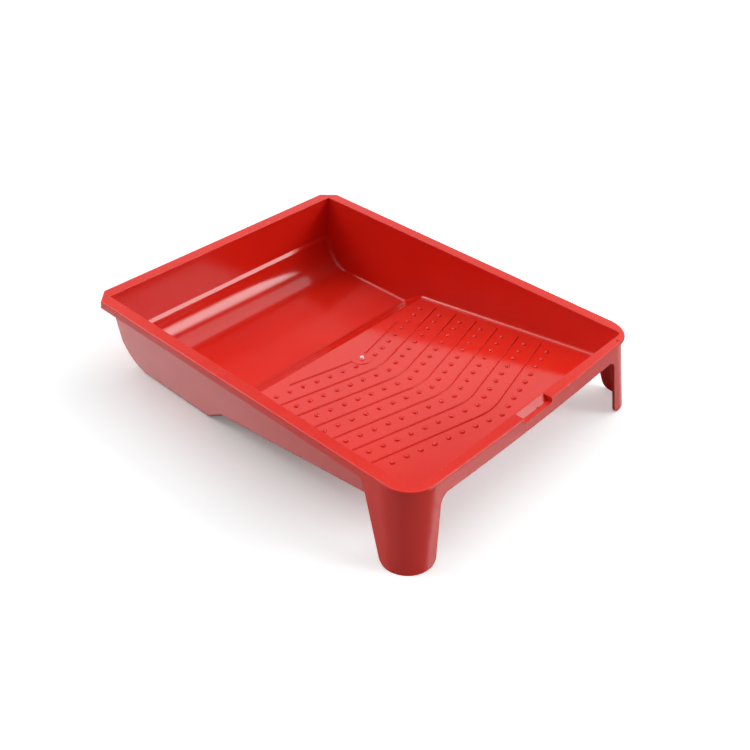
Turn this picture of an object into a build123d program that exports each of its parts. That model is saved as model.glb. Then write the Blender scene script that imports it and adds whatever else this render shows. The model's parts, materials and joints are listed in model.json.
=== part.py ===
from build123d import *
import math
import os

os.makedirs("parts", exist_ok=True)

# Paint roller tray, one polypropylene moulding. The floor is z = 0, the deep end is +Y and the
# shallow end with the two feet is -Y. Lengths are in millimetres.

# Rim
RIM_Z = 69.0
RIM_PLATE = 2.0
RIM_UNDER_Z = RIM_Z - RIM_PLATE
RIM_HALF_X = 139.5
RIM_BACK_Y = 178.6
RIM_FRONT_Y = -171.6
FRONT_BOW = 2.0
RIM_CORNER_R = 23.0
BACK_CHAMFER = 12.0
RIM_EDGE_R = 1.2
OPENING_EDGE_R = 0.7

# Basin
WALL = 2.0
OPENING_HALF_X = 129.0
OPENING_BACK_Y = 168.1
OPENING_FRONT_Y = -164.0
SIDE_DRAFT = 0.106
CREASE_Z = 30.8
CREASE_BACK_Y = 165.8
CREASE_R = 0.8
LEDGE = 1.9
LEDGE_FALL = 2.9
BACK_CURVE_R = 30.0
FLOOR_END_Y = 57.0
RISER_TOP_Y = 37.5
RISER_TOP_Z = 14.9
RAMP_FRONT_Y = -162.2
RAMP_FRONT_Z = 41.7
RISER_FOOT_R = 5.0
RISER_LIP_R = 4.5
RAMP_END_R = 3.0
INNER_EDGE_R = 3.2
OUTER_EDGE_R = 3.6
OUTER_CORNER_R = 5.5
CORNER_CUT_BELOW = 12.0

# Skirt and feet
SKIRT_WALL = 2.2
FOOT_HALF_X = 145.0
FOOT_FRONT_Y = -179.0
FOOT_BACK_Y = 184.0
FOOT_CORNER_R = 21.5
LEG_TOP_CORNER_R = 30.0
SIDE_SKIRT = 6.3
FRONT_SKIRT = 13.0
LEG_REAR_TOP_Y = -127.3
LEG_REAR_FOOT_Y = -152.3
LEG_INNER_TOP_X = 109.1
LEG_INNER_FOOT_X = 117.4
LEG_FRONT_CROTCH_R = 9.0
LEG_FRONT_TOE_R = 7.0
LEG_REAR_CROTCH_R = 5.0
LEG_REAR_TOE_R = 10.0

# Roller rest pressed into the middle of the front rim
REST_HALF_X = 17.5
REST_DROP = 4.2
REST_SLOPE_START_Y = -165.2
REST_SLOPE_END_Y = -169.6
REST_FLARE = 0.8

# Pits left by the mould in the front rim and in the roller rest
PIT_R = 1.3
PIT_LIFT = 0.3
RIM_PIT = (117.0, -168.0)
REST_PIT = (4.5, -170.4)

# Ramp pattern. It sits a little to the right, and each row lies a little further right.
PITCH = 22.7
PATTERN_X = 5.0
ROW_DRIFT = 0.5
CHEVRON_SLOPE = 0.2657
CHEVRON_R = 48.0
CHEVRONS = 7
FIRST_CHEVRON_Y = 7.4
FIRST_CHEVRON_HALF = 66.5
CHEVRON_HALF = 107.5
RIB_WIDTH = 1.6
RIB_HEIGHT = 1.0
RIB_CREST = 0.45
RIB_SHOULDER = 0.75
FIRST_STUD_ROW_Y = -2.1
STUD_PITCH = 12.22
STUDS_PER_SIDE = 8
STUD_R = 2.2
STUD_HEIGHT = 1.6
GATE_Y = 5.5
GATE_DISC_R = 9.0
GATE_DISC_H = 0.5
GATE_EDGE_R = 0.3
GATE_CLEARANCE = 0.5
GATE_NUB_R = 1.9
GATE_NUB_H = 2.4
GATE_NUB_TAPER = 8.0
GATE_NUB_TIP_R = 1.0

# Places where the one moulding is divided into named regions
WALL_SEAM = 3.4
FLOOR_SEAM_Y = CREASE_BACK_Y - LEDGE - BACK_CURVE_R
RISER_FOOT_SEAM_Y = FLOOR_END_Y + 2.2
RISER_LIP_SEAM_Y = RISER_TOP_Y - 1.2
RAMP_END_SEAM_Y = RAMP_FRONT_Y + 3.4
RIM_SEAM_X = OPENING_HALF_X - 1.2
LEG_SEAM_X = 98.0
LEG_SEAM_Y = -121.0
SKIRT_SEAM_X = 126.0

# Reach of cutting solids past the tray
FAR = 400.0
OVERRUN = 6.0
CUT_REACH = 3.0

BACK_LEAN = (OPENING_BACK_Y - CREASE_BACK_Y) / (RIM_Z - CREASE_Z)
FRONT_LEAN = (RAMP_FRONT_Y - OPENING_FRONT_Y) / (RIM_Z - RAMP_FRONT_Z)
RAMP_TILT = math.atan2(RAMP_FRONT_Z - RISER_TOP_Z, RISER_TOP_Y - RAMP_FRONT_Y)
ARC_DEPTH = 1 - math.sqrt(0.5)


def between(x=(-FAR, FAR), y=(-FAR, FAR), z=(-FAR, FAR)):
    """Everything between two planes along each axis."""
    centre = (sum(x) / 2, sum(y) / 2, sum(z) / 2)
    return Pos(*centre) * Box(x[1] - x[0], y[1] - y[0], z[1] - z[0])


def side_prism(points, half_x):
    """A (y, z) polygon drawn across the tray, half to each side of the middle."""
    return extrude(Plane.YZ * make_face(Polyline(*points, close=True)), half_x, both=True)


def front_prism(sketch):
    """An (x, z) outline drawn along the whole tray."""
    return extrude(Plane.XZ * sketch, FAR, both=True)


def corner_near(sketch, y, z):
    """The vertex of a sketch closest to a point."""
    return min(sketch.vertices(), key=lambda v: math.hypot(v.X - y, v.Y - z))


def opening_half(z):
    """Half width of the drafted basin at height z."""
    return OPENING_HALF_X - SIDE_DRAFT * (RIM_Z - z)


def side_wedge(grow):
    """A full-length block between the drafted side walls, grown outwards."""
    bottom = -5 * WALL
    top = RIM_Z + 5 * WALL
    low = opening_half(bottom) + grow
    high = opening_half(top) + grow
    points = [(-low, bottom), (low, bottom), (high, top), (-high, top)]
    return front_prism(make_face(Polyline(*points, close=True)))


def basin_profile():
    """Side view of the paint space: back wall, ledge, curve, floor, riser and ramp."""
    top = RIM_Z + OVERRUN
    back_top = (OPENING_BACK_Y + OVERRUN * BACK_LEAN, top)
    front_top = (OPENING_FRONT_Y - OVERRUN * FRONT_LEAN, top)
    centre = (FLOOR_SEAM_Y, WALL + BACK_CURVE_R)

    def on_curve(angle):
        return (
            centre[0] + BACK_CURVE_R * math.cos(angle),
            centre[1] - BACK_CURVE_R * math.sin(angle),
        )

    start = math.asin((centre[1] - CREASE_Z + LEDGE_FALL) / BACK_CURVE_R)
    end = math.pi / 2
    lines = Polyline(front_top, back_top, (CREASE_BACK_Y, CREASE_Z), on_curve(start))
    curve = ThreePointArc(on_curve(start), on_curve((start + end) / 2), on_curve(end))
    bed = Polyline(
        on_curve(end),
        (FLOOR_END_Y, WALL),
        (RISER_TOP_Y, RISER_TOP_Z),
        (RAMP_FRONT_Y, RAMP_FRONT_Z),
        front_top,
    )
    sketch = Sketch() + make_face(lines + curve + bed)
    sketch = fillet(corner_near(sketch, FLOOR_END_Y, WALL), RISER_FOOT_R)
    sketch = fillet(corner_near(sketch, RISER_TOP_Y, RISER_TOP_Z), RISER_LIP_R)
    sketch = fillet(corner_near(sketch, RAMP_FRONT_Y, RAMP_FRONT_Z), RAMP_END_R)
    return fillet(corner_near(sketch, CREASE_BACK_Y, CREASE_Z), CREASE_R)


def bed_side_edges(body):
    """Edges where the side walls meet the curve, floor, riser and ramp."""
    found = []
    for edge in body.edges():
        box = edge.bounding_box()
        on_one_side = min(abs(box.min.X), abs(box.max.X)) > opening_half(-5 * WALL)
        below_ledge = box.max.Y < FLOOR_END_Y + RISER_FOOT_R or box.min.Z < CREASE_Z - WALL * 2
        if on_one_side and below_ledge and box.max.Z < RAMP_FRONT_Z + RIM_PLATE / 4:
            found.append(edge)
    return found


def upright_corner_cut(side, end, wall_y, low):
    """Material taken off an outer upright corner of the basin. The end wall's outer face is at
    wall_y(z), towards +Y where end is 1 and towards -Y where it is -1."""
    sections = []
    for z in (low, RIM_Z + OVERRUN):
        x = side * (opening_half(z) + WALL)
        y = wall_y(z)
        inner_x = x - side * OUTER_CORNER_R
        inner_y = y - end * OUTER_CORNER_R
        depth = ARC_DEPTH * OUTER_CORNER_R
        past_x = x + side * CUT_REACH
        past_y = y + end * CUT_REACH
        edges = ThreePointArc((x, inner_y), (x - side * depth, y - end * depth), (inner_x, y))
        edges += Polyline(
            (inner_x, y), (inner_x, past_y), (past_x, past_y), (past_x, inner_y), (x, inner_y)
        )
        sections.append(Pos(0, 0, z) * make_face(edges))
    return loft(sections, ruled=True)


def back_face_y(z):
    """Outside of the back wall at height z."""
    return CREASE_BACK_Y + WALL + BACK_LEAN * (z - CREASE_Z)


def front_face_y(z):
    """Outside of the front wall at height z."""
    return OPENING_FRONT_Y - WALL + FRONT_LEAN * (RIM_Z - z)


def basin_bodies():
    """The paint space and the outside of the basin, both with rounded bed edges."""
    profile = basin_profile()
    inner = extrude(Plane.YZ * profile, RIM_HALF_X, both=True) & side_wedge(0)
    grown = offset(profile, amount=WALL, kind=Kind.INTERSECTION)
    outer = extrude(Plane.YZ * grown, RIM_HALF_X, both=True) & side_wedge(WALL)
    inner = fillet(bed_side_edges(inner), INNER_EDGE_R)
    outer = fillet(bed_side_edges(outer), OUTER_EDGE_R)
    for side in (-1, 1):
        outer -= upright_corner_cut(side, 1, back_face_y, CREASE_Z - CORNER_CUT_BELOW)
        outer -= upright_corner_cut(side, -1, front_face_y, RAMP_FRONT_Z - CORNER_CUT_BELOW)
    return inner, outer


def outline(half_x, front, back, corner, chamfer):
    """Plan outline: bowed front, rounded front corners, chamfered back corners."""
    run = half_x - corner
    depth = corner * ARC_DEPTH
    edges = ThreePointArc((-run, front), (0, front - FRONT_BOW), (run, front))
    edges += ThreePointArc(
        (run, front), (half_x - depth, front + depth), (half_x, front + corner)
    )
    edges += Polyline(
        (half_x, front + corner),
        (half_x, back - chamfer),
        (half_x - chamfer, back),
        (-half_x + chamfer, back),
        (-half_x, back - chamfer),
        (-half_x, front + corner),
    )
    edges += ThreePointArc(
        (-half_x, front + corner), (-half_x + depth, front + depth), (-run, front)
    )
    return make_face(edges)


def skirt_body(inset):
    """Solid inside the splayed skirt surface, from the floor to the rim plate."""
    foot = outline(
        FOOT_HALF_X - inset,
        FOOT_FRONT_Y + inset,
        FOOT_BACK_Y - inset,
        FOOT_CORNER_R - inset,
        BACK_CHAMFER,
    )
    chamfer_at_head = BACK_CHAMFER - 2 * ARC_DEPTH * inset
    head = outline(
        RIM_HALF_X - inset,
        RIM_FRONT_Y + inset,
        RIM_BACK_Y - inset,
        LEG_TOP_CORNER_R - inset,
        chamfer_at_head,
    )
    return loft([foot, Pos(0, 0, RIM_UNDER_Z) * head], ruled=True)


def front_view_keep():
    """Front view of the skirt band and the two feet, rounded at their corners."""
    band = RIM_Z - FRONT_SKIRT
    points = [
        (-FAR, RIM_Z),
        (FAR, RIM_Z),
        (FAR, 0),
        (LEG_INNER_FOOT_X, 0),
        (LEG_INNER_TOP_X, band),
        (-LEG_INNER_TOP_X, band),
        (-LEG_INNER_FOOT_X, 0),
        (-FAR, 0),
    ]
    sketch = Sketch() + make_face(Polyline(*points, close=True))
    for side in (-1, 1):
        sketch = fillet(corner_near(sketch, side * LEG_INNER_TOP_X, band), LEG_FRONT_CROTCH_R)
        sketch = fillet(corner_near(sketch, side * LEG_INNER_FOOT_X, 0), LEG_FRONT_TOE_R)
    return front_prism(sketch)


def side_view_keep():
    """Side view of the low side skirt and the foot below its front end."""
    band = RIM_Z - SIDE_SKIRT
    points = [
        (-FAR, RIM_Z),
        (FAR, RIM_Z),
        (FAR, band),
        (LEG_REAR_TOP_Y, band),
        (LEG_REAR_FOOT_Y, 0),
        (-FAR, 0),
    ]
    sketch = Sketch() + make_face(Polyline(*points, close=True))
    sketch = fillet(corner_near(sketch, LEG_REAR_TOP_Y, band), LEG_REAR_CROTCH_R)
    sketch = fillet(corner_near(sketch, LEG_REAR_FOOT_Y, 0), LEG_REAR_TOE_R)
    return extrude(Plane.YZ * sketch, FAR, both=True)


def rim_plate(cavity):
    """The flat rim with a rounded outer edge and the basin opening through it."""
    face = outline(RIM_HALF_X, RIM_FRONT_Y, RIM_BACK_Y, RIM_CORNER_R, BACK_CHAMFER)
    plate = extrude(Pos(0, 0, RIM_UNDER_Z) * face, RIM_PLATE)
    plate = fillet(plate.faces().sort_by(Axis.Z)[-1].edges(), RIM_EDGE_R)
    plate -= cavity
    opening = plate.faces().sort_by(Axis.Z)[-1].inner_wires()[0]
    return fillet(opening.edges(), OPENING_EDGE_R)


def rest_void():
    """Space pressed out of the front rim for the roller rest."""
    floor = RIM_Z - REST_DROP
    points = [
        (REST_SLOPE_START_Y, RIM_Z + OVERRUN),
        (REST_SLOPE_START_Y, RIM_Z),
        (REST_SLOPE_END_Y, floor),
        (-FAR, floor),
        (-FAR, RIM_Z + OVERRUN),
    ]
    return side_prism(points, REST_HALF_X)


def rest_blank():
    """Material around the pressed roller rest, down to its underside."""
    under = RIM_UNDER_Z - REST_DROP
    points = [
        (OPENING_FRONT_Y - REST_FLARE, RIM_Z),
        (OPENING_FRONT_Y - REST_FLARE, RIM_UNDER_Z),
        (REST_SLOPE_END_Y + REST_FLARE, under),
        (-FAR, under),
        (-FAR, RIM_Z),
    ]
    return side_prism(points, REST_HALF_X + RIM_PLATE)


def pit(place, surface_z):
    """A shallow round pit in a level surface."""
    return Pos(*place, surface_z + PIT_LIFT) * Sphere(PIT_R)


def ramp_plane():
    """Upper surface of the ramp, centred on the pattern; its local y runs down the slope
    towards the deep end."""
    normal = (0, math.sin(RAMP_TILT), math.cos(RAMP_TILT))
    return Plane((PATTERN_X, RISER_TOP_Y, RISER_TOP_Z), x_dir=(1, 0, 0), z_dir=normal)


def on_ramp(y):
    """Distance along the ramp for a plan position y."""
    return (y - RISER_TOP_Y) / math.cos(RAMP_TILT)


def chevron_y(x, vertex_y):
    """Plan position of a chevron line with a rounded vertex."""
    angle = math.atan(CHEVRON_SLOPE)
    if abs(x) < CHEVRON_R * math.sin(angle):
        return vertex_y + CHEVRON_R / math.cos(angle) - math.sqrt(CHEVRON_R**2 - x * x)
    return vertex_y + CHEVRON_SLOPE * abs(x)


def chevron_rib(vertex_y, half_x):
    """One raised V-shaped rib with a rounded crest."""
    tangent_x = CHEVRON_R * math.sin(math.atan(CHEVRON_SLOPE))
    stations = [-half_x, -tangent_x, 0, tangent_x, half_x]
    a, b, c, d, e = [(x, on_ramp(chevron_y(x, vertex_y))) for x in stations]
    path = Line(a, b) + ThreePointArc(b, c, d) + Line(d, e)
    along = Vector(b[0] - a[0], b[1] - a[1], 0).normalized()
    across = Vector(0, 0, 1).cross(along)
    half = RIB_WIDTH / 2
    crest = RIB_CREST * half
    shoulder = RIB_SHOULDER * RIB_HEIGHT
    sides = Polyline((crest, shoulder), (half, 0), (-half, 0), (-crest, shoulder))
    top = ThreePointArc((-crest, shoulder), (0, RIB_HEIGHT), (crest, shoulder))
    section = Plane((a[0], a[1], 0), x_dir=across, z_dir=along) * make_face(sides + top)
    return sweep(section, path=path)


def stud():
    """A low rounded stud standing on the ramp."""
    sphere_r = (STUD_R**2 + STUD_HEIGHT**2) / (2 * STUD_HEIGHT)
    dome = Pos(0, 0, STUD_HEIGHT - sphere_r) * Sphere(sphere_r)
    return dome & between(z=(0, FAR))


def row_shift(row):
    """Sideways place of one row of the pattern."""
    return Pos(ROW_DRIFT * row, 0, 0)


def rib_rows():
    """Chevron ribs in ramp coordinates; the first is broken by the moulding gate."""
    gate_room = Pos(0, on_ramp(GATE_Y), 0) * Cylinder(GATE_DISC_R + GATE_CLEARANCE, OVERRUN)
    solids = []
    for row in range(CHEVRONS):
        half_x = CHEVRON_HALF if row else FIRST_CHEVRON_HALF
        rib = row_shift(row) * chevron_rib(FIRST_CHEVRON_Y - PITCH * row, half_x)
        solids += (rib - gate_room).solids()
    return solids


def stud_rows():
    """Studs in ramp coordinates, one at each row's vertex and the rest along its two arms."""
    one = stud()
    solids = []
    for row in range(CHEVRONS):
        for i in range(-STUDS_PER_SIDE, STUDS_PER_SIDE + 1):
            x = STUD_PITCH * i
            y = FIRST_STUD_ROW_Y - PITCH * row + CHEVRON_SLOPE * abs(x)
            if math.hypot(x, y - GATE_Y) > GATE_DISC_R + STUD_R + GATE_CLEARANCE:
                solids.append(row_shift(row) * Pos(x, on_ramp(y), 0) * one)
    return solids


def gate_mark():
    """Round moulding mark and the cut-off injection point in its middle."""
    disc = Pos(0, on_ramp(GATE_Y), 0) * extrude(Circle(GATE_DISC_R), GATE_DISC_H)
    disc = fillet(disc.edges().sort_by(Axis.Z)[-1], GATE_EDGE_R)
    nub = extrude(Circle(GATE_NUB_R), GATE_NUB_H, taper=GATE_NUB_TAPER)
    nub = fillet(nub.edges().sort_by(Axis.Z)[-1], GATE_NUB_TIP_R)
    return disc, Pos(0, on_ramp(GATE_Y), GATE_DISC_H) * nub


def save(name, shape):
    """Write one node as its own STEP file."""
    solids = shape if isinstance(shape, list) else shape.solids()
    whole = Compound(children=list(solids)) if len(solids) > 1 else solids[0]
    whole.label = name
    export_step(whole, "parts/" + name + ".step")
    box = whole.bounding_box()
    volume = sum(s.volume for s in solids)
    print(
        f"{name:20s} solids {len(solids):3d} volume {volume:10.1f}"
        f"  x {box.min.X:8.2f} {box.max.X:8.2f}  y {box.min.Y:8.2f} {box.max.Y:8.2f}"
        f"  z {box.min.Z:7.2f} {box.max.Z:7.2f}"
    )
    return box


# Basin shell below the rim plate, with the bed parted from the two side walls
cavity, basin = basin_bodies()
tub = (basin - cavity) & between(z=(-FAR, RIM_UNDER_Z))
centre_wedge = side_wedge(-WALL_SEAM)
bed = tub & centre_wedge
sides = tub - centre_wedge

# Skirt band and feet
curtain = skirt_body(0) - skirt_body(SKIRT_WALL)
curtain = curtain & front_view_keep()
curtain = curtain & side_view_keep()
curtain -= rest_void()
curtain -= basin

# Rim plate with the roller rest
plate = rim_plate(cavity)
rest = (rest_blank() & skirt_body(SKIRT_WALL)) + (rest_blank() & plate)
rest = (rest - rest_void() - pit(REST_PIT, RIM_Z - REST_DROP)) - curtain - tub
plate = plate - rest_blank() - pit(RIM_PIT, RIM_Z)

# Ramp pattern
ramp = ramp_plane().location
disc, nub = gate_mark()

nodes = {
    "well_floor": bed & between(y=(RISER_FOOT_SEAM_Y, FLOOR_SEAM_Y)),
    "well_back_curve": bed & between(y=(FLOOR_SEAM_Y, FAR), z=(-FAR, CREASE_Z)),
    "back_wall": bed & between(y=(FLOOR_SEAM_Y, FAR), z=(CREASE_Z, FAR)),
    "riser": bed & between(y=(RISER_LIP_SEAM_Y, RISER_FOOT_SEAM_Y)),
    "ramp_panel": bed & between(y=(RAMP_END_SEAM_Y, RISER_LIP_SEAM_Y)),
    "front_wall": bed & between(y=(-FAR, RAMP_END_SEAM_Y)),
    "left_wall": sides & between(x=(-FAR, 0)),
    "right_wall": sides & between(x=(0, FAR)),
    "rim_left": plate & between(x=(-FAR, -RIM_SEAM_X)),
    "rim_right": plate & between(x=(RIM_SEAM_X, FAR)),
    "rim_back": plate & between(x=(-RIM_SEAM_X, RIM_SEAM_X), y=(0, FAR)),
    "rim_front_left": plate & between(x=(-RIM_SEAM_X, 0), y=(-FAR, 0)),
    "rim_front_right": plate & between(x=(0, RIM_SEAM_X), y=(-FAR, 0)),
    "roller_rest": rest,
    "skirt_front": curtain & between(x=(-LEG_SEAM_X, LEG_SEAM_X), y=(-FAR, 0)),
    "skirt_back": curtain & between(x=(-SKIRT_SEAM_X, SKIRT_SEAM_X), y=(0, FAR)),
    "skirt_left": curtain & between(x=(-FAR, -SKIRT_SEAM_X), y=(LEG_SEAM_Y, FAR)),
    "skirt_right": curtain & between(x=(SKIRT_SEAM_X, FAR), y=(LEG_SEAM_Y, FAR)),
    "leg_left": curtain & between(x=(-FAR, -LEG_SEAM_X), y=(-FAR, LEG_SEAM_Y)),
    "leg_right": curtain & between(x=(LEG_SEAM_X, FAR), y=(-FAR, LEG_SEAM_Y)),
    "chevron_ribs": [ramp * rib for rib in rib_rows()],
    "ramp_studs": [ramp * one for one in stud_rows()],
    "gate_disc": ramp * disc,
    "gate_nub": ramp * nub,
}

boxes = [save(name, shape) for name, shape in nodes.items()]
for axis in "XYZ":
    low = min(getattr(box.min, axis) for box in boxes)
    high = max(getattr(box.max, axis) for box in boxes)
    print("overall", axis, round(low, 3), round(high, 3))
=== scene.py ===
"""Looks for the paint roller tray: red moulded plastic, a pale floor and soft studio light."""

import json
import math

import bpy
from mathutils import Matrix, Vector


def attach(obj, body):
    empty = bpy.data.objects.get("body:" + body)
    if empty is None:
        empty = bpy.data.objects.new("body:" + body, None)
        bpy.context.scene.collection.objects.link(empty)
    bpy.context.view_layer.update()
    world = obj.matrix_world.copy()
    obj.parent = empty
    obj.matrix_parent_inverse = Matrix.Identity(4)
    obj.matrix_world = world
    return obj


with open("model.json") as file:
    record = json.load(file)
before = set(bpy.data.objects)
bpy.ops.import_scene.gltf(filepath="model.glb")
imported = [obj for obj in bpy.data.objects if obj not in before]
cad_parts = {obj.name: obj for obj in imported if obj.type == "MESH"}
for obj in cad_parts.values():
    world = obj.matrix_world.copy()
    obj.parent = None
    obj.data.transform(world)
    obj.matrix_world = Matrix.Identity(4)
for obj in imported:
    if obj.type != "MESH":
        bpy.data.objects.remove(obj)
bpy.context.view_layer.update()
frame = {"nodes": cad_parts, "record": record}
nodes = frame["nodes"]
scene = bpy.context.scene
scene.view_settings.view_transform = "Standard"

# Groups of CAD nodes that share a finish, by the record's material slots
SLOT_OF = {s["node"]: s["material_slot"] for s in frame["record"]["subparts"]}

# Camera, in metres and in the row frame
CAMERA_PLACE = Vector((-0.51617, -0.46235, 0.52530))
CAMERA_RIGHT = Vector((0.67394, -0.73803, 0.03352))
CAMERA_BACK = Vector((-0.60522, -0.52551, 0.59795))
CAMERA_LENS = 48.554

# Light panels of the studio: azimuth from and to, elevation from and to, softness of the edge
# (degrees; azimuth 0 is +Y and 90 is +X), and brightness
PANELS = (
    (130, 154, 14, 38, 5.0, 8.2),  # key light, front right, mirrored by the back curve
    (-40, -8, 32, 48, 2.0, 5.44),  # main light, back left
    (-22.5, 22.5, -12, 30, 3.0, 0.72),
    (-22.5, 22.5, 30, 50, 3.0, 1.76),
    (22.5, 67.5, -12, 22, 3.0, 0.56),
    (22.5, 67.5, 22, 30.5, 1.5, 1.02),
    (22.5, 67.5, 30.5, 34, 1.5, 0.5),
    (22.5, 67.5, 34, 50, 1.5, 0.26),
    (67.5, 112.5, -12, 30, 3.0, 0.16),
    (67.5, 112.5, 30, 50, 3.0, 2.24),
    (112.5, 157.5, 30, 50, 3.0, 0.24),
    (157.5, 202.5, 30, 50, 3.0, 0.2),
    (247.5, 292.5, -12, 30, 3.0, 0.4),
    (247.5, 292.5, 30, 50, 3.0, 0.24),
    (292.5, 337.5, -12, 30, 3.0, 0.72),
    (292.5, 337.5, 30, 50, 3.0, 0.72),
    (-45, 45, 50, 70, 3.0, 2.4),
    (45, 135, 50, 70, 3.0, 1.68),
    (135, 225, 50, 70, 3.0, 0.4),
    (225, 315, 50, 70, 3.0, 0.56),
    (-200, 200, 70, 110, 3.0, 1.0),  # overhead
)

# Floor: its colour as the camera sees it, the painted glow that lightens its shadows from left to
# right of the view, and the greys of its matt and polished halves as light and reflections meet it
FLOOR_REACH = 6.0
FLOOR_WHITE = (0.885, 0.92, 0.925, 1.0)
FLOOR_GLOW_LEFT = 0.17
FLOOR_GLOW_RIGHT = 0.42
FLOOR_MATT = (0.60, 0.60, 0.60, 1.0)
FLOOR_POLISH = (0.75, 0.75, 0.75, 1.0)
FLOOR_POLISH_ROUGHNESS = 0.35

# Plastic: the reds it drifts between, and the white of the painted highlight on the gate nub
RED = (0.70, 0.016, 0.008, 1.0)
RED_DEEP = (0.60, 0.010, 0.006, 1.0)
RED_WARM = (0.76, 0.022, 0.010, 1.0)
GATE_GLINT_WHITE = (1.0, 0.90, 0.88)
PLASTIC_IOR = 1.49


def make_camera():
    """The main viewing angle: from the left front, looking down into the tray."""
    data = bpy.data.cameras.new("camera")
    data.lens = CAMERA_LENS
    data.sensor_width = 36.0
    data.clip_start = 0.02
    data.clip_end = 60.0
    camera = bpy.data.objects.new("camera", data)
    scene.collection.objects.link(camera)
    back = CAMERA_BACK.normalized()
    up = back.cross(CAMERA_RIGHT).normalized()
    right = up.cross(back)
    turn = Matrix((right, up, back)).transposed()
    camera.matrix_world = Matrix.Translation(CAMERA_PLACE) @ turn.to_4x4()
    scene.camera = camera


class Graph:
    """Short helpers for building a node tree."""

    def __init__(self, tree):
        self.tree = tree
        tree.nodes.clear()

    def add(self, kind, **settings):
        node = self.tree.nodes.new(kind)
        for key, value in settings.items():
            setattr(node, key, value)
        return node

    def feed(self, value, socket):
        """Link a socket, or set a plain value."""
        if isinstance(value, bpy.types.NodeSocket):
            self.tree.links.new(value, socket)
        elif value is not None:
            socket.default_value = value

    def math(self, operation, a, b=None, c=None, clamp=False):
        node = self.add("ShaderNodeMath", operation=operation, use_clamp=clamp)
        for value, socket in zip((a, b, c), node.inputs):
            self.feed(value, socket)
        return node.outputs[0]

    def place(self):
        """Position in the row frame: every CAD node sits at the origin."""
        return self.add("ShaderNodeTexCoord").outputs["Object"]

    def stretch(self, vector, scale, turn=(0.0, 0.0, 0.0)):
        node = self.add("ShaderNodeMapping")
        self.feed(vector, node.inputs["Vector"])
        node.inputs["Scale"].default_value = scale
        node.inputs["Rotation"].default_value = turn
        return node.outputs[0]

    def noise(self, vector, scale, detail=3.0, roughness=0.5, distortion=0.0):
        node = self.add("ShaderNodeTexNoise")
        self.feed(vector, node.inputs["Vector"])
        node.inputs["Scale"].default_value = scale
        node.inputs["Detail"].default_value = detail
        node.inputs["Roughness"].default_value = roughness
        node.inputs["Distortion"].default_value = distortion
        return node.outputs["Fac"]

    def remap(self, value, low, high, to_low=0.0, to_high=1.0, smooth=False):
        node = self.add("ShaderNodeMapRange", clamp=True)
        if smooth:
            node.interpolation_type = "SMOOTHSTEP"
        self.feed(value, node.inputs["Value"])
        node.inputs["From Min"].default_value = low
        node.inputs["From Max"].default_value = high
        node.inputs["To Min"].default_value = to_low
        node.inputs["To Max"].default_value = to_high
        return node.outputs["Result"]

    def mix_colour(self, factor, a, b):
        node = self.add("ShaderNodeMix", data_type="RGBA")
        self.feed(factor, node.inputs["Factor"])
        self.feed(a, node.inputs["A"])
        self.feed(b, node.inputs["B"])
        return node.outputs["Result"]

    def bump(self, height, strength, distance, normal=None):
        node = self.add("ShaderNodeBump")
        node.inputs["Strength"].default_value = strength
        node.inputs["Distance"].default_value = distance
        self.feed(height, node.inputs["Height"])
        self.feed(normal, node.inputs["Normal"])
        return node.outputs["Normal"]


def tint(colour, shade, pale):
    """A red made darker by shade, as painted shade, then whitened by pale, as a painted highlight."""
    return tuple(c * shade * (1 - pale) + w * pale for c, w in zip(colour[:3], GATE_GLINT_WHITE)) + (1.0,)


def red_plastic(name, roughness, grain, waviness, gloss, shade=1.0, pale=0.0):
    """Glossy polypropylene with slow colour drift, mould-flow haze, fine grain and small dents."""
    material = bpy.data.materials.new(name)
    material.use_nodes = True
    graph = Graph(material.node_tree)
    place = graph.place()
    drift = graph.noise(place, 9.0, 2.0)
    specks = graph.noise(place, 420.0, 4.0, 0.6)
    colour = graph.mix_colour(graph.remap(drift, 0.35, 0.7), tint(RED, shade, pale),
                              tint(RED_WARM, shade, pale))
    colour = graph.mix_colour(graph.remap(specks, 0.58, 0.80, 0.0, 0.35), colour,
                              tint(RED_DEEP, shade, pale))

    flow = graph.noise(graph.stretch(place, (14.0, 60.0, 60.0)), 1.0, 4.0, 0.6, 0.6)
    haze = graph.remap(flow, 0.30, 0.72, roughness - 0.02, roughness + 0.04)
    dust = graph.noise(place, 900.0, 2.0)
    rough = graph.math("ADD", haze, graph.remap(dust, 0.62, 0.80, 0.0, 0.06))

    wave = graph.noise(place, 16.0, 1.0)
    pitting = graph.noise(place, 340.0, 2.0, 0.5)
    fine = graph.noise(place, 1500.0, 2.0, 0.6)
    normal = graph.bump(wave, waviness, 0.004)
    normal = graph.bump(pitting, grain, 0.0005, normal)
    normal = graph.bump(fine, grain, 0.0003, normal)

    shader = graph.add("ShaderNodeBsdfPrincipled")
    graph.feed(colour, shader.inputs["Base Color"])
    graph.feed(rough, shader.inputs["Roughness"])
    graph.feed(normal, shader.inputs["Normal"])
    shader.inputs["IOR"].default_value = PLASTIC_IOR
    shader.inputs["Specular IOR Level"].default_value = gloss
    output = graph.add("ShaderNodeOutputMaterial")
    graph.feed(shader.outputs[0], output.inputs["Surface"])
    return material


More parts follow.
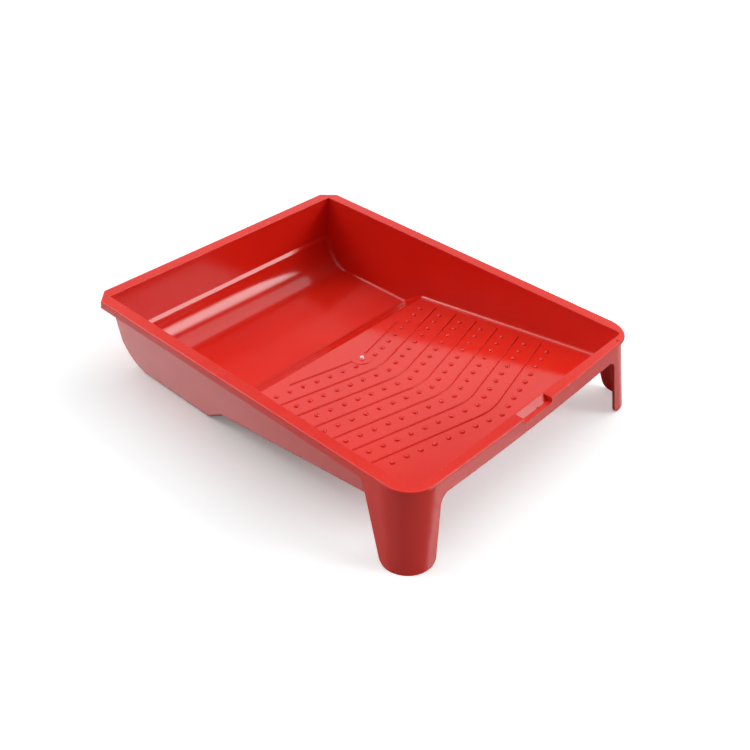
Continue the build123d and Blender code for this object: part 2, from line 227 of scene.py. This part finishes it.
def make_floor():
    """A wide pale floor whose shadows are lifted by a painted glow that only the camera sees; in
    reflections it's half polished.
    """
    mesh = bpy.data.meshes.new("floor")
    corners = [(x * FLOOR_REACH, y * FLOOR_REACH, 0) for x, y in ((-1, -1), (1, -1), (1, 1), (-1, 1))]
    mesh.from_pydata(corners, [], [(0, 1, 2, 3)])
    floor = bpy.data.objects.new("floor", mesh)
    scene.collection.objects.link(floor)
    material = bpy.data.materials.new("pale_floor")
    material.use_nodes = True
    graph = Graph(material.node_tree)

    # As the camera sees it: matt white plus painted light, a glow that lifts its shadows, stronger to
    # the right
    split = graph.add("ShaderNodeSeparateXYZ")
    graph.feed(graph.place(), split.inputs[0])
    across = graph.math("SUBTRACT", graph.math("MULTIPLY", split.outputs["X"], 0.67),
                        graph.math("MULTIPLY", split.outputs["Y"], 0.74))
    painted_shadow_lift = graph.remap(across, -0.10, 0.12, FLOOR_GLOW_LEFT, FLOOR_GLOW_RIGHT, smooth=True)
    white = graph.add("ShaderNodeBsdfDiffuse")
    white.inputs["Color"].default_value = FLOOR_WHITE
    emission = graph.add("ShaderNodeEmission")
    graph.feed(painted_shadow_lift, emission.inputs["Strength"])
    direct = graph.add("ShaderNodeAddShader")
    graph.feed(white.outputs[0], direct.inputs[0])
    graph.feed(emission.outputs[0], direct.inputs[1])

    # As every other ray meets it: half matt, half polished
    matt = graph.add("ShaderNodeBsdfDiffuse")
    matt.inputs["Color"].default_value = FLOOR_MATT
    polish = graph.add("ShaderNodeBsdfAnisotropic")
    polish.inputs["Color"].default_value = FLOOR_POLISH
    polish.inputs["Roughness"].default_value = FLOOR_POLISH_ROUGHNESS
    bounced = graph.add("ShaderNodeMixShader")
    bounced.inputs[0].default_value = 0.5
    graph.feed(matt.outputs[0], bounced.inputs[1])
    graph.feed(polish.outputs[0], bounced.inputs[2])

    both = graph.add("ShaderNodeMixShader")
    graph.feed(graph.add("ShaderNodeLightPath").outputs["Is Camera Ray"], both.inputs[0])
    graph.feed(bounced.outputs[0], both.inputs[1])
    graph.feed(direct.outputs[0], both.inputs[2])
    output = graph.add("ShaderNodeOutputMaterial")
    graph.feed(both.outputs[0], output.inputs["Surface"])
    mesh.materials.append(material)


def make_world():
    """Soft studio light: the panels around the tray, in front of a plain white backdrop."""
    world = bpy.data.worlds.new("studio")
    world.use_nodes = True
    scene.world = world
    graph = Graph(world.node_tree)
    split = graph.add("ShaderNodeSeparateXYZ")
    graph.feed(graph.add("ShaderNodeTexCoord").outputs["Generated"], split.inputs[0])
    azimuth = graph.math("ARCTAN2", split.outputs["X"], split.outputs["Y"])
    elevation = graph.math("ARCSINE", split.outputs["Z"])
    total = 0.0
    for az_from, az_to, el_from, el_to, soft, brightness in PANELS:
        aside = graph.math("SUBTRACT", azimuth, math.radians((az_from + az_to) / 2))
        aside = graph.math("ABSOLUTE", graph.math("WRAP", aside, math.pi, -math.pi))
        above = graph.math("SUBTRACT", elevation, math.radians((el_from + el_to) / 2))
        above = graph.math("ABSOLUTE", above)
        level = brightness
        for away, half in ((aside, (az_to - az_from) / 2), (above, (el_to - el_from) / 2)):
            inner, outer = math.radians(half - soft), math.radians(half + soft)
            level = graph.math("MULTIPLY", graph.remap(away, inner, outer, 1.0, 0.0, smooth=True), level)
        total = graph.math("ADD", level, total)

    # The camera sees plain white instead of the panels
    seen_direct = graph.add("ShaderNodeLightPath").outputs["Is Camera Ray"]
    total = graph.math("MULTIPLY", total, graph.math("SUBTRACT", 1.0, seen_direct))
    total = graph.math("ADD", total, seen_direct)
    background = graph.add("ShaderNodeBackground")
    background.inputs["Color"].default_value = (1.0, 1.0, 1.0, 1.0)
    graph.feed(total, background.inputs["Strength"])
    output = graph.add("ShaderNodeOutputWorld")
    graph.feed(background.outputs[0], output.inputs["Surface"])


make_camera()
make_world()
make_floor()

# Roughness, grain, waviness and gloss of each finish
SLOT_FINISH = {
    "basin_plastic": red_plastic("basin_red", 0.13, 0.03, 0.012, 0.5),
    "rim_plastic": red_plastic("rim_red", 0.24, 0.025, 0.012, 0.5),
    "skirt_plastic": red_plastic("skirt_red", 0.20, 0.015, 0.012, 0.6),
    "ramp_plastic": red_plastic("ramp_red", 0.11, 0.04, 0.010, 0.5),
}
# Nodes that look different from the rest of their slot; the riser and the gate nub carry painted shade
# and a painted highlight
NODE_FINISH = {
    "chevron_ribs": red_plastic("rib_red", 0.42, 0.04, 0.010, 0.4),
    # Painted shade: the riser's red is darkened to stand in for the shade that falls on it
    "riser": red_plastic("riser_painted_shade", 0.16, 0.03, 0.010, 0.4, shade=0.80),
    # Painted highlight: the gate nub's red is whitened to stand in for the glint on its tip
    "gate_nub": red_plastic("gate_painted_glint", 0.35, 0.04, 0.010, 0.5, pale=0.85),
}
for node_name, piece in nodes.items():
    piece.data.materials.clear()
    piece.data.materials.append(NODE_FINISH.get(node_name) or SLOT_FINISH[SLOT_OF[node_name]])
    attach(piece, "root")
